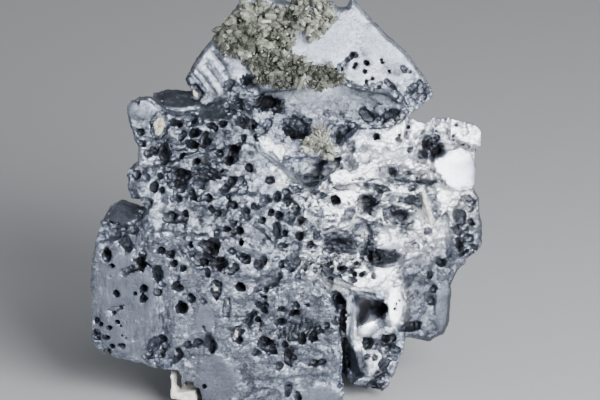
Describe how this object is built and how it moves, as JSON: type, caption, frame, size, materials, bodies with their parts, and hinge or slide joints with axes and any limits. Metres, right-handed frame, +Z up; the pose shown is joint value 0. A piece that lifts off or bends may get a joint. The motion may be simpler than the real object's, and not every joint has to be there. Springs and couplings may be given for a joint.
{
  "type": "skeletal galena specimen",
  "caption": "Upright cluster of intergrown, pitted skeletal galena crystals with a pale quartz crust, a quartz tuft and small calcite grains.",
  "frame": {"origin": "on the flat base, in the middle of what the specimen rests on", "axes": "+Z up, -Y out of the front that the pitted plates face, +X to the viewer's right"},
  "size_m": [0.0979, 0.0553, 0.1025],
  "materials": {
    "galena": "metallic lead-grey cleavage faces, satin to mirror-bright",
    "quartz": "translucent pale green-grey crystals",
    "quartz_pale": "translucent cream-white crystals",
    "calcite": "dull cream-white cleavage blocks",
    "calcite_grain": "dull cream grains"
  },
  "bodies": {
    "root": {"galena": "galena", "quartz_crust": "quartz", "quartz_tuft": "quartz_pale", "quartz_blade": "quartz_pale", "calcite_foot": "calcite", "grain_pocket": "calcite_grain", "grain_sliver": "calcite_grain", "grain_corner": "calcite_grain", "grain_front_high": "calcite_grain", "grain_front_long": "calcite_grain", "grain_front_low": "calcite_grain"}
  },
  "joints": []
}
